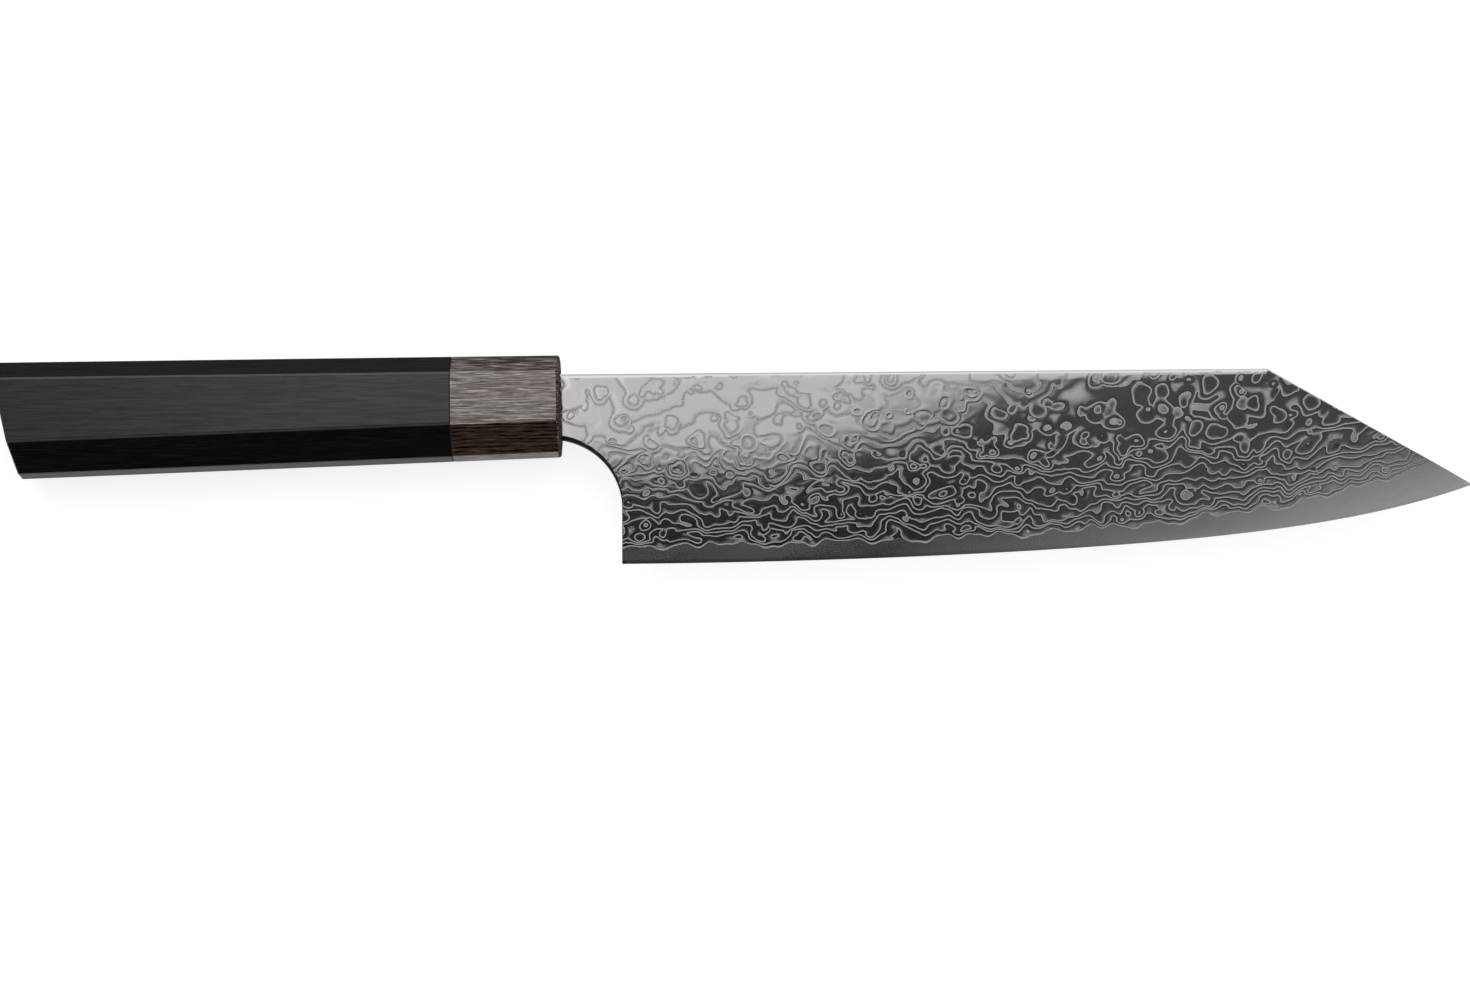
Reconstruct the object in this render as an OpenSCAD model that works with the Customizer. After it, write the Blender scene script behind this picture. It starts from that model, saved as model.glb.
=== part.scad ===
// Kiritsuke kitchen knife: a three-layer forged blade with a hidden tang,
// set in an octagonal wooden handle with a contrasting ferrule.
// It lies on its left side: +X runs along the spine to the tip, +Y towards the
// spine, and the right face of the blade looks up.

/* [Blade outline] */
// Length of the cutting edge, from heel to tip
edge_len = 210; // [180:1:270]
// Height of the blade at the heel
heel_h = 48.6; // [44:0.1:56]
// Height of the neck where it enters the ferrule
neck_h = 16.9; // [14:0.1:19]
// Distance from the ferrule to the straight heel
neck_len = 15.3; // [12:0.1:22]
// Radius of the cut between the neck and the heel
choil_r = 18; // [14:0.1:21]
// Rise of the tip above the line of the heel
tip_rise = 18.4; // [14:0.1:24]
// Part of that rise that the even belly gives; the rest comes close to the tip
belly_rise = 10.7; // [6:0.1:13]
// Angle of the clipped back that ends the spine
clip_angle = 31.5; // [26:0.5:40]

/* [Blade section] */
// Thickness of the spine at the neck
spine_t = 2.3; // [1.8:0.1:3.2]
// Thickness of the spine where the clipped back starts
clip_t = 1.5; // [1.2:0.1:1.7]
// Thickness just behind the edge bevel
edge_t = 0.2; // [0.1:0.02:0.4]
// Height of the edge bevel
bevel_h = 0.8; // [0.4:0.1:1.5]
// Fullness of the convex grind: 1 is flat, higher is fuller
grind = 2.2; // [1.2:0.1:3]
// Radius that eases the spine and the choil
ease_r = 0.6; // [0.1:0.05:0.7]

/* [Core steel] */
// Height of core steel that shows above the edge
core_band = 4.2; // [2.5:0.1:6]
// How far the forging line wanders up and down
core_wander = 0.7; // [0:0.1:1.2]
// Extra height of the band as it runs out at the tip
core_tip_band = 6.5; // [3:0.1:9]

/* [Tang] */
// Length of the tang, from the face of the ferrule
tang_len = 76; // [60:1:90]
// Height of the tang at its shoulder
tang_h = 9; // [7:0.1:9.5]
// Height of the tang at its end
tang_end_h = 5.5; // [4:0.1:7]
// Depth to which the neck stands in the ferrule at full height
neck_in = 2.6; // [1.5:0.1:3.5]

/* [Handle] */
// Length of the handle with its ferrule, along its axis
handle_len = 137.5; // [125:0.5:155]
// Height of the octagon at the face of the ferrule
handle_h = 25.2; // [23:0.1:28]
// Height of the octagon at the butt
butt_h = 29.1; // [26:0.1:32]
// Thickness of the handle across its flat sides
handle_t = 20; // [19:0.1:24]
// Height of each slanted facet
slant_h = 6.45; // [5:0.05:7.5]
// Depth of each slanted facet
slant_t = 7.65; // [6:0.05:8]
// Easing of the eight long arrises
arris_ease = 0.25; // [0.1:0.05:0.6]
// Angle of the handle's axis to the spine
handle_angle = 1.1; // [0:0.1:3]
// Depth of the handle's axis below the spine, at the ferrule
axis_drop = 8.2; // [7.5:0.1:9]
// Slant of the butt
butt_angle = 13.4; // [0:0.2:18]

/* [Ferrule and joint] */
// Length of the ferrule
ferrule_len = 26.7; // [20:0.1:34]
// Width of the bevel around the face of the ferrule
ferrule_bevel = 0.7; // [0.3:0.1:1.2]
// Thickness of the glue between ferrule and handle
glue_t = 0.15; // [0.05:0.05:0.3]
// Diameter of the dowel that joins ferrule and handle
dowel_d = 13; // [12:0.1:14]
// Room for resin behind the end of the tang
tang_room = 3; // [1:0.5:6]
// Wood of the dowel left behind that room
dowel_wall = 3; // [2:0.5:12]
// Wood left in front of the dowel, in the ferrule
ferrule_web = 5; // [4.5:0.1:8]
// Height of the slot that takes the tang
slot_h = 10.2; // [10:0.1:10.6]
// Width of the slot that takes the tang
slot_t = 3.4; // [3.3:0.1:4]
// Depth of the wider mouth that takes the neck
mouth_depth = 4.2; // [3.8:0.1:4.4]
// Clearance of the mouth around the neck
mouth_gap = 0.35; // [0.25:0.05:0.6]
// Depth of the seal that fills the mouth
seal_depth = 2; // [1:0.1:2.4]
// Step of the seal below the face of the ferrule
seal_step = 0.3; // [0:0.05:0.6]
// Film left for glue around the tang and the dowel
film = 0.05; // [0.03:0.01:0.1]

/* [Hidden] */
big = 400;

// The outline of the blade, with the spine as y = 0 and the ferrule at x = 0
tip = [neck_len + edge_len, tip_rise - heel_h];
clip_x = tip.x + tip.y / tan(clip_angle);
tip_power = 7;
choil_x = neck_len - choil_r;
choil_start = choil_x < 0 ? acos(-choil_x / choil_r) : 90;
choil_y = -neck_h - choil_r * sin(choil_start);

function along(x) = max(0, (x - neck_len) / edge_len);
function edge_y(x) =
    let (s = along(x))
    -heel_h + belly_rise * s * s + (tip_rise - belly_rise) * pow(s, tip_power);

// The forging line: how far above the edge the core steel shows
wander_long = 31;
wander_short = 13;
function band(x) =
    core_band + core_tip_band * pow(along(x), 6)
    + core_wander * (0.6 * sin(360 * x / wander_long) + 0.4 * sin(360 * x / wander_short));

// Half the thickness of the blade at a point of its outline plane
function spine_half(x) =
    let (t = max(0, x) / clip_x)
    (spine_t + (clip_t - spine_t) * t) / 2;
function half_t(p) =
    let (rise = p == tip ? 0 : p.y - edge_y(p.x))
    let (full = spine_half(p.x))
    let (share = min(1, rise / -edge_y(p.x)))
    let (face = edge_t / 2 + (full - edge_t / 2) * (1 - pow(1 - share, grind)))
    min(face, face * rise / bevel_h);

// The frame of the handle: its axis leaves the face of the ferrule backwards
function on_axis(x, y) = [
    x * cos(handle_angle) - y * sin(handle_angle),
    x * sin(handle_angle) + y * cos(handle_angle) - axis_drop
];
module on_handle() {
    translate([0, -axis_drop, 0]) rotate([0, 0, handle_angle]) children();
}

// The part stands in the middle of its own footprint, with the flat side at z = 0
butt_slope = tan(butt_angle);
taper = (butt_h - handle_h) / handle_len;
butt_top = (handle_h + taper * handle_len) / 2 / (1 - taper / 2 * butt_slope);
back_x = on_axis(-handle_len - butt_top * butt_slope, butt_top).x;
top_y = on_axis(-ferrule_bevel, (handle_h + taper * ferrule_bevel) / 2).y;
centre = [(tip.x + back_x) / 2, (top_y - heel_h) / 2];
module placed() {
    translate([-centre.x, -centre.y, handle_t / 2]) children();
}

// Columns run down the blade, from the spine to the line where the cladding ends.
// Each is [top, end of the cladding, its inward normals, point on the bevel, point on the edge].
shoulder_gap = 0.2;
shoulder_x = mouth_depth - shoulder_gap;
choil_steps = 12;
heel_steps = 4;
spine_steps = 34;
clip_steps = 14;
fan_x = 2 * neck_len;
fan_steps = choil_steps + heel_steps;
heel_top = [neck_len, band(neck_len) - heel_h];
up = [0, 1];
clip_normal = [-sin(clip_angle), -cos(clip_angle)];

function plain_column(top, foot, foot_normal) = [top, foot, -up, foot_normal, foot, foot];

function edge_column(x_top) =
    let (x = neck_len + edge_len * (x_top - fan_x) / (tip.x - fan_x))
    let (top = [x_top, -max(0, x_top - clip_x) * tan(clip_angle)])
    let (foot = [x, edge_y(x)])
    let (room = top.y - foot.y)
    let (meets = band(x) >= room)
    let (bevel = min(bevel_h, room / 2))
    [
        top, meets ? top : foot + band(x) * up,
        x_top > clip_x ? clip_normal : -up, up,
        foot + bevel * up, foot
    ];

columns = [
    plain_column(on_axis(-tang_len, tang_end_h / 2), on_axis(-tang_len, -tang_end_h / 2), up),
    plain_column(on_axis(-shoulder_x, tang_h / 2), on_axis(-shoulder_x, -tang_h / 2), up),
    plain_column([-neck_in, 0], [-neck_in, -neck_h], up),
    plain_column([0, 0], [0, -neck_h], up),
    for (k = [1:choil_steps])
        let (a = choil_start * (1 - k / choil_steps))
        plain_column(
            [fan_x * k / fan_steps, 0],
            [choil_x + choil_r * cos(a), choil_y + choil_r * sin(a)],
            [cos(a), sin(a)]
        ),
    for (k = [1:heel_steps - 1])
        plain_column(
            [fan_x * (choil_steps + k) / fan_steps, 0],
            [neck_len, choil_y + (heel_top.y - choil_y) * k / heel_steps],
            [1, 0]
        ),
    [
        [fan_x, 0], heel_top, -up, [1, 0],
        [neck_len, bevel_h - heel_h], [neck_len, -heel_h]
    ],
    for (k = [1:spine_steps]) edge_column(fan_x + (clip_x - fan_x) * k / spine_steps),
    for (k = [1:clip_steps - 1]) edge_column(clip_x + (tip.x - clip_x) * k / clip_steps),
    [tip, tip, clip_normal, up, tip, tip]
];
heel_column = 3 + fan_steps;
clad_end = [for (k = [heel_column + 1:len(columns) - 1]) if (columns[k][0] == columns[k][1]) k][0];

// Half the thickness of the core under the cladding of a column
function core_half(k) = half_t(columns[max(k, heel_column)][1]);

function at(p, z) = [p.x, p.y, z];
function mix(a, b, t) = a + (b - a) * t;

// The core steel: even under the cladding, ground thin below it
function core_side(side) = [
    for (k = [0:len(columns) - 1])
        let (col = columns[k])
        let (z = side * core_half(k))
        let (ground = k >= heel_column)
        [
            at(col[0], z), at(col[1], z),
            at(col[4], ground ? side * half_t(col[4]) : z),
            at(col[5], ground ? 0 : z)
        ]
];

// The cladding: its ground face, with eased borders, and its flat back on the core
ease_rows = [0, 0.293, 1];
face_rows = [0.2, 0.4, 0.6, 0.8];
function border(p, normal, ease, row) =
    let (q = p + normal * ease * row)
    at(q, half_t(q) - ease * (1 - sin(acos(1 - row))));
function clad_face(k) =
    let (col = columns[k])
    let (core = core_half(k))
    let (ease_top = min(ease_r, 0.6 * (half_t(col[0]) - core)))
    let (ease_foot = min(ease_r, 0.6 * (half_t(col[1]) - core)))
    let (high = col[0] + col[2] * ease_top)
    let (low = col[1] + col[3] * ease_foot)
    k == clad_end ? [for (r = [1:10]) at(col[0], core)] : [
        for (row = ease_rows) border(col[0], col[2], ease_top, row),
        for (t = face_rows) let (q = mix(high, low, t)) at(q, half_t(q)),
        for (r = [2:-1:0]) border(col[1], col[3], ease_foot, ease_rows[r])
    ];
function clad_back(k) =
    let (col = columns[k])
    [for (r = [1:10]) at(col[r == 1 ? 0 : 1], core_half(k))];

function flat(lists) = [for (l = lists) each l];
function halves(quads) = flat([for (q = quads) [[q[0], q[1], q[2]], [q[0], q[2], q[3]]]]);

// A closed solid between two sheets of points, [column][row] each, with walls all round.
// Faces that close up to a line where points meet are left out.
module between_sheets(front, back) {
    n = len(front);
    m = len(front[0]);
    points = concat(flat(front), flat(back));
    sheets = [
        for (i = [0:n - 2], j = [0:m - 2])
            let (a = i * m + j)
            each [
                [a, a + m, a + m + 1, a + 1],
                [n * m + a, n * m + a + 1, n * m + a + m + 1, n * m + a + m]
            ]
    ];
    long_walls = [
        for (i = [0:n - 2])
            let (a = i * m)
            let (b = a + m - 1)
            each [
                [a + m, a, n * m + a, n * m + a + m],
                [b, b + m, n * m + b + m, n * m + b]
            ]
    ];
    end_walls = [
        for (j = [0:m - 2])
            let (b = (n - 1) * m + j)
            each [
                [j, j + 1, n * m + j + 1, n * m + j],
                [b + 1, b, n * m + b, n * m + b + 1]
            ]
    ];
    faces = [
        for (f = halves(concat(sheets, long_walls, end_walls)))
            if (
                points[f[0]] != points[f[1]] && points[f[1]] != points[f[2]]
                && points[f[2]] != points[f[0]]
            ) f
    ];
    polyhedron(points, faces);
}

// The octagon: outward angle of each facet, its distance from the axis at the face
// of the ferrule, and how much that distance grows per millimetre towards the butt
facet_angle = atan2(slant_h, slant_t);
function facet_reach(h) =
    (h * slant_t + handle_t * slant_h - 2 * slant_h * slant_t) / 2 / norm([slant_h, slant_t]);
facets = [
    [0, handle_h / 2, taper / 2],
    [facet_angle, facet_reach(handle_h), taper / 2 * cos(facet_angle)],
    [90, handle_t / 2, 0]
];
function ring(f) = [
    f[0], f[1], f[2],
    [180 - f[1][0], f[1][1], f[1][2]], [180, f[0][1], f[0][2]],
    [180 + f[1][0], f[1][1], f[1][2]], [270, f[2][1], f[2][2]],
    [360 - f[1][0], f[1][1], f[1][2]]
];
octagon = ring(facets);

// An eased arris between two neighbouring facets
function arris(f, g) =
    let (half_turn = (g[0] - f[0] + 360) % 360 / 2)
    let (k = 1 / (2 * cos(half_turn)))
    [f[0] + half_turn, (f[1] + g[1]) * k - arris_ease, (f[2] + g[2]) * k];
planes = [for (i = [0:7]) each [octagon[i], arris(octagon[i], octagon[(i + 1) % 8])]];

// Everything on the inner side of one facet, as a plane leaves it
module planed(facet) {
    rotate([facet[0], 0, 0])
        translate([0, facet[1], 0])
            rotate([0, 0, -atan(facet[2])])
                translate([-big, -big, -big / 2]) cube([2 * big, big, big]);
}

// The tapered octagonal blank between two distances behind the face of the ferrule
module blank(from, to) {
    intersection() {
        translate([-to, -big / 2, -big / 2]) cube([to - from, big, big]);
        intersection_for (f = planes) planed(f);
    }
}

// The bore for the dowel and the slot for the tang, shared by the wooden parts
module dowel_bore(from, to) {
    translate([-to, 0, 0]) rotate([0, 90, 0])
        cylinder(h = to - from, d = dowel_d + 2 * film, $fn = 96);
}
module block(from, to, y, h, t) {
    translate([-to, y - h / 2, -t / 2]) cube([to - from, h, t]);
}
mouth_y = axis_drop - neck_h / 2;
mouth_h = neck_h + 2 * mouth_gap;
mouth_t = spine_t + 2 * mouth_gap;
module tang_slot() { block(mouth_depth, slot_end, 0, slot_h, slot_t); }
slot_end = tang_len + tang_room;
dowel_end = slot_end + dowel_wall;
dowel_len = dowel_end - ferrule_web;

// The space that the tang and its shoulders take, with the film around them
module tang_space() {
    t = spine_t + 2 * film;
    outline = [
        on_axis(-tang_len - film, tang_end_h / 2 + film),
        on_axis(-shoulder_x - film, tang_h / 2 + film),
        [-neck_in - film, film],
        [big / 20, film],
        [big / 20, -neck_h - film],
        [-neck_in - film, -neck_h - film],
        on_axis(-shoulder_x - film, -tang_h / 2 - film),
        on_axis(-tang_len - film, -tang_end_h / 2 - film)
    ];
    translate([0, 0, -t / 2]) linear_extrude(height = t) polygon(outline);
}

// Hard carbon steel, forged between the two claddings; it alone forms the edge
module blade_core() {
    color([0.62, 0.62, 0.64]) placed()
        between_sheets(core_side(1), core_side(-1));
}

// Folded patterned steel on the right of the core
module cladding() {
    between_sheets(
        [for (k = [0:clad_end]) clad_face(k)],
        [for (k = [0:clad_end]) clad_back(k)]
    );
}
module cladding_right() {
    color([0.47, 0.47, 0.49]) placed() cladding();
}

// The same on the left, as its mirror image
module cladding_left() {
    color([0.44, 0.44, 0.46]) placed() mirror([0, 0, 1]) cladding();
}

// Hard resin that beds the tang in the slot, up to the seal
module tang_bedding() {
    color([0.72, 0.62, 0.40]) placed() difference() {
        on_handle() union() {
            tang_slot();
            block(seal_step + seal_depth, mouth_depth, mouth_y, mouth_h, mouth_t);
        }
        tang_space();
    }
}

// Streaked brown wood, bevelled in front, with the mouth, the slot and a blind bore
module ferrule() {
    color([0.42, 0.36, 0.33]) placed() on_handle() difference() {
        intersection() {
            blank(0, ferrule_len);
            intersection_for (f = octagon)
                planed([f[0], f[1] - ferrule_bevel, 1]);
        }
        block(-1, mouth_depth, mouth_y, mouth_h, mouth_t);
        block(mouth_depth - 1, ferrule_web + 1, 0, slot_h, slot_t);
        dowel_bore(ferrule_web, ferrule_len + 1);
    }
}

// Dark resin that closes the mouth around the neck
module mouth_seal() {
    color([0.12, 0.11, 0.11]) placed() difference() {
        on_handle() block(seal_step, seal_step + seal_depth, mouth_y, mouth_h, mouth_t);
        tang_space();
    }
}

// The dark line of glue between the two woods
module ferrule_glue() {
    color([0.10, 0.08, 0.07]) placed() on_handle() difference() {
        blank(ferrule_len, ferrule_len + glue_t);
        dowel_bore(ferrule_len - 1, ferrule_len + 1);
    }
}

// Hardwood dowel, slotted for the tang, glued into both woods
module tang_dowel() {
    color([0.78, 0.65, 0.47]) placed() on_handle() difference() {
        translate([-dowel_end, 0, 0]) rotate([0, 90, 0])
            cylinder(h = dowel_len, d = dowel_d, $fn = 96);
        tang_slot();
    }
}

// Ebony, planed to a tapered octagon, bored for the dowel and cut at a slant
module handle_body() {
    color([0.14, 0.13, 0.14]) placed() on_handle() difference() {
        blank(ferrule_len + glue_t, handle_len + butt_h);
        dowel_bore(ferrule_len, dowel_end + film);
        translate([-handle_len, 0, 0]) rotate([0, 0, butt_angle])
            translate([-big, -big / 2, -big / 2]) cube([big, big, big]);
    }
}

blade_core();
cladding_right();
cladding_left();
tang_bedding();
ferrule();
mouth_seal();
ferrule_glue();
tang_dowel();
handle_body();
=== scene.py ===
import math

import bmesh
import bpy
import numpy as np
from mathutils import Matrix, Vector


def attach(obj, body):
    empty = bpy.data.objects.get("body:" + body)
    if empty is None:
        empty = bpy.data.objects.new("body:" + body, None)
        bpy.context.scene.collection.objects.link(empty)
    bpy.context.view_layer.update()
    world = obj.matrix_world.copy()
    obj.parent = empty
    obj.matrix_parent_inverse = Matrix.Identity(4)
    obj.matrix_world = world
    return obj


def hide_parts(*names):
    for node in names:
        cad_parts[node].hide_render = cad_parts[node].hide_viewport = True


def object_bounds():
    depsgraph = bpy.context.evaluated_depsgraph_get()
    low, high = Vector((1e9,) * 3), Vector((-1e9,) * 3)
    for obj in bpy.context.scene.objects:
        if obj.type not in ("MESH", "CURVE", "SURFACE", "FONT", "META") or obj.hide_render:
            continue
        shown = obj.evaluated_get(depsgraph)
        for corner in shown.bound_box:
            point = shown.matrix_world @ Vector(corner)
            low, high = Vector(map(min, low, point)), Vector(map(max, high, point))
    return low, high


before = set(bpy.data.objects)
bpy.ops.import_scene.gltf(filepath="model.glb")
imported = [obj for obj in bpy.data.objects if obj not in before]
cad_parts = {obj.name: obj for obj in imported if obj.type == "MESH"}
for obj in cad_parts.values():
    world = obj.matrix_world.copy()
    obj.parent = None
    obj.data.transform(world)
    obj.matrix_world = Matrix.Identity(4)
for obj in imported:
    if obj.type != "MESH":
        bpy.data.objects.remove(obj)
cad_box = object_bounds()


# Where the photographer stands
# Nearly above the knife, a little on the side of the edge, with the tip to the right.
# Lengths are in millimetres, counted from the point where the spine leaves the ferrule.
MM = 0.001
EDGE_LENGTH = 210.0
HEEL_HEIGHT = 48.6
NECK_LENGTH = 15.3
ORIGIN = np.array([
    cad_box[1].x / MM - NECK_LENGTH - EDGE_LENGTH,
    cad_box[0].y / MM + HEEL_HEIGHT,
    cad_box[1].z / MM / 2,
])
AIM = (43.15, -30.2, 0.0)
DISTANCE = 797.0
TILT = math.radians(14.58)
ROLL = math.radians(-0.468)
SENSOR = 36.0
LENS = 79.03
VIEW_RANGE = (0.05, 60.0)


def in_row(points):
    """Points of the knife, in millimetres, as metres in the row's frame."""
    return (np.asarray(points, float) + ORIGIN) * MM


towards_camera = Vector((0, -math.sin(TILT), math.cos(TILT)))
level = Vector((1, 0, 0))
upright = Vector((0, math.cos(TILT), math.sin(TILT)))
right = math.cos(ROLL) * level + math.sin(ROLL) * upright
top = math.cos(ROLL) * upright - math.sin(ROLL) * level
lens = bpy.data.cameras.new("photo_lens")
lens.sensor_width = SENSOR
lens.lens = LENS
lens.clip_start, lens.clip_end = VIEW_RANGE
camera = bpy.data.objects.new("photo_camera", lens)
turned = Matrix((right, top, towards_camera)).transposed().to_4x4()
camera.matrix_world = Matrix.Translation(
    Vector(in_row(AIM)) + towards_camera * DISTANCE * MM
) @ turned
bpy.context.scene.collection.objects.link(camera)
bpy.context.scene.camera = camera
bpy.context.scene.view_settings.view_transform = "Standard"


# The core steel
# A thin sheet of hard carbon steel, forged between the two claddings. It alone is ground
# to the edge, and shows as a plain satin band below the wavy forging line.
TIP_RISE = 18.4
BELLY_RISE = 10.7
TIP_POWER = 7
CLIP_ANGLE = math.radians(31.5)
NECK_HEIGHT = 16.9
CHOIL_RADIUS = 18.0
SPINE_THICKNESS = 2.3
CLIP_THICKNESS = 1.5
BEVEL_TOP_THICKNESS = 0.2
BEVEL_HEIGHT = 0.8
GRIND = 2.2
CORE_BAND = 4.2
CORE_TIP_BAND = 6.5
CORE_TIP_POWER = 6
CORE_WANDER = 0.7
SLOW_WAVES = ((0.6, 31.0), (0.4, 13.0))
QUICK_WAVES = ((0.55, 9.1, 1.3, 5.3, 0.4), (0.22, 4.3, 1.7, 7.9, 0.0))
QUICK_FADE = 6.0
TANG_LENGTH = 76.0
TANG_HEIGHT = 9.0
TANG_END_HEIGHT = 5.5
NECK_INSIDE = 2.6
SHOULDER = 4.0
HANDLE_ANGLE = math.radians(1.1)
AXIS_DROP = 8.2

TIP = np.array([NECK_LENGTH + EDGE_LENGTH, TIP_RISE - HEEL_HEIGHT])
CLIP_X = TIP[0] + TIP[1] / math.tan(CLIP_ANGLE)
CHOIL_X = NECK_LENGTH - CHOIL_RADIUS
CHOIL_START = math.acos(-CHOIL_X / CHOIL_RADIUS)
CHOIL_Y = -NECK_HEIGHT - CHOIL_RADIUS * math.sin(CHOIL_START)


def along(x):
    """The share of the edge's length that lies behind x: 0 at the heel, 1 at the tip."""
    return np.maximum(0, (x - NECK_LENGTH) / EDGE_LENGTH)


def edge_y(x):
    s = along(x)
    return (
        -HEEL_HEIGHT + BELLY_RISE * s * s
        + (TIP_RISE - BELLY_RISE) * s ** TIP_POWER
    )


def even_band(x):
    """How far above the edge the core steel would show, if the forging line were even."""
    return CORE_BAND + CORE_TIP_BAND * along(x) ** CORE_TIP_POWER


def band(x):
    """How far above the edge the core steel shows: the forging line is never straight."""
    slow = sum(height * np.sin(2 * np.pi * x / length) for height, length in SLOW_WAVES)
    quick = sum(
        height * np.sin(2 * np.pi * x / length + bend * np.sin(x / bend_length) + shift)
        for height, length, bend, bend_length, shift in QUICK_WAVES
    )
    fade = np.clip((1 - along(x)) * QUICK_FADE, 0, 1)
    return even_band(x) + CORE_WANDER * slow + fade * quick


def half_thickness(x, y):
    """Half the thickness of the finished blade: a convex grind down to a small bevel."""
    t = np.maximum(0, x) / CLIP_X
    full = (SPINE_THICKNESS + (CLIP_THICKNESS - SPINE_THICKNESS) * t) / 2
    rise = np.maximum(0, y - edge_y(x))
    share = np.minimum(1, rise / -edge_y(x))
    low = BEVEL_TOP_THICKNESS / 2
    face = low + (full - low) * (1 - (1 - share) ** GRIND)
    return np.minimum(face, face * rise / BEVEL_HEIGHT)


def on_axis(x, y):
    """A point of the handle's own frame, whose axis slopes a little, in the blade's."""
    cos, sin = math.cos(HANDLE_ANGLE), math.sin(HANDLE_ANGLE)
    return np.array([x * cos - y * sin, x * sin + y * cos - AXIS_DROP])


# Columns run down the blade from the spine: top, end of the cladding, the directions in
# which their borders are eased, top of the edge bevel, and edge.
FAN_X = 2 * NECK_LENGTH
CHOIL_STEPS, HEEL_STEPS, SPINE_STEPS, CLIP_STEPS = 48, 12, 340, 150
UP = np.array([0.0, 1.0])
FORWARD = np.array([1.0, 0.0])
CLIP_NORMAL = np.array([-math.sin(CLIP_ANGLE), -math.cos(CLIP_ANGLE)])


def edge_column(x_top):
    x = NECK_LENGTH + EDGE_LENGTH * (x_top - FAN_X) / (TIP[0] - FAN_X)
    head = np.array([x_top, -max(0, x_top - CLIP_X) * math.tan(CLIP_ANGLE)])
    edge = np.array([x, edge_y(x)])
    room = head[1] - edge[1]
    foot = head if band(x) >= room else edge + band(x) * UP
    down = CLIP_NORMAL if x_top > CLIP_X else -UP
    return [head, foot, down, UP, edge + min(BEVEL_HEIGHT, room / 2) * UP, edge]


def plain_column(head, foot, foot_normal=UP):
    return [head, foot, -UP, foot_normal, foot, foot]


HEEL_TOP = np.array([NECK_LENGTH, band(NECK_LENGTH) - HEEL_HEIGHT])
columns = [
    plain_column(on_axis(-TANG_LENGTH, TANG_END_HEIGHT / 2),
                 on_axis(-TANG_LENGTH, -TANG_END_HEIGHT / 2)),
    plain_column(on_axis(-SHOULDER, TANG_HEIGHT / 2), on_axis(-SHOULDER, -TANG_HEIGHT / 2)),
    plain_column(np.array([-NECK_INSIDE, 0]), np.array([-NECK_INSIDE, -NECK_HEIGHT])),
    plain_column(np.array([0, 0]), np.array([0, -NECK_HEIGHT])),
]
for k in range(1, CHOIL_STEPS + 1):
    turn = CHOIL_START * (1 - k / CHOIL_STEPS)
    out = np.array([math.cos(turn), math.sin(turn)])
    columns.append(plain_column(
        np.array([FAN_X * k / (CHOIL_STEPS + HEEL_STEPS), 0]),
        np.array([CHOIL_X, CHOIL_Y]) + CHOIL_RADIUS * out, out,
    ))
for k in range(1, HEEL_STEPS):
    columns.append(plain_column(
        np.array([FAN_X * (CHOIL_STEPS + k) / (CHOIL_STEPS + HEEL_STEPS), 0]),
        np.array([NECK_LENGTH, CHOIL_Y + (HEEL_TOP[1] - CHOIL_Y) * k / HEEL_STEPS]),
        FORWARD,
    ))
heel_column = len(columns)
columns.append([
    np.array([FAN_X, 0]), HEEL_TOP, -UP, FORWARD,
    np.array([NECK_LENGTH, BEVEL_HEIGHT - HEEL_HEIGHT]),
    np.array([NECK_LENGTH, -HEEL_HEIGHT]),
])
for k in range(1, SPINE_STEPS + 1):
    columns.append(edge_column(FAN_X + (CLIP_X - FAN_X) * k / SPINE_STEPS))
for k in range(1, CLIP_STEPS):
    columns.append(edge_column(CLIP_X + (TIP[0] - CLIP_X) * k / CLIP_STEPS))
columns.append([TIP, TIP, CLIP_NORMAL, UP, TIP, TIP])
clad_end = next(
    k for k in range(heel_column + 1, len(columns)) if columns[k][0] is columns[k][1]
)


def core_half(k):
    """Half the thickness of the core under the cladding of one column."""
    return float(half_thickness(*columns[max(k, heel_column)][1]))


CREASE = math.radians(32)
WELD = 1e-6
SLIVER = 1e-7


def between_sheets(name, front, back, sharp_rows=()):
    """A closed piece between two sheets of points, [column][row] each, walled all round."""
    n, m = len(front), len(front[0])
    points = in_row(np.concatenate([np.reshape(front, (-1, 3)), np.reshape(back, (-1, 3))]))
    faces = []
    for i in range(n - 1):
        for j in range(m - 1):
            a = i * m + j
            b = a + n * m
            faces += [(a, a + m, a + m + 1, a + 1), (b, b + 1, b + m + 1, b + m)]
        a, b = i * m, i * m + m - 1
        faces += [
            (a + m, a, n * m + a, n * m + a + m), (b, b + m, n * m + b + m, n * m + b)
        ]
    for j in range(m - 1):
        b = (n - 1) * m + j
        faces += [
            (j, j + 1, n * m + j + 1, n * m + j), (b + 1, b, n * m + b, n * m + b + 1)
        ]
    return closed_piece(name, points, faces, sharp_rows, m)


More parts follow.
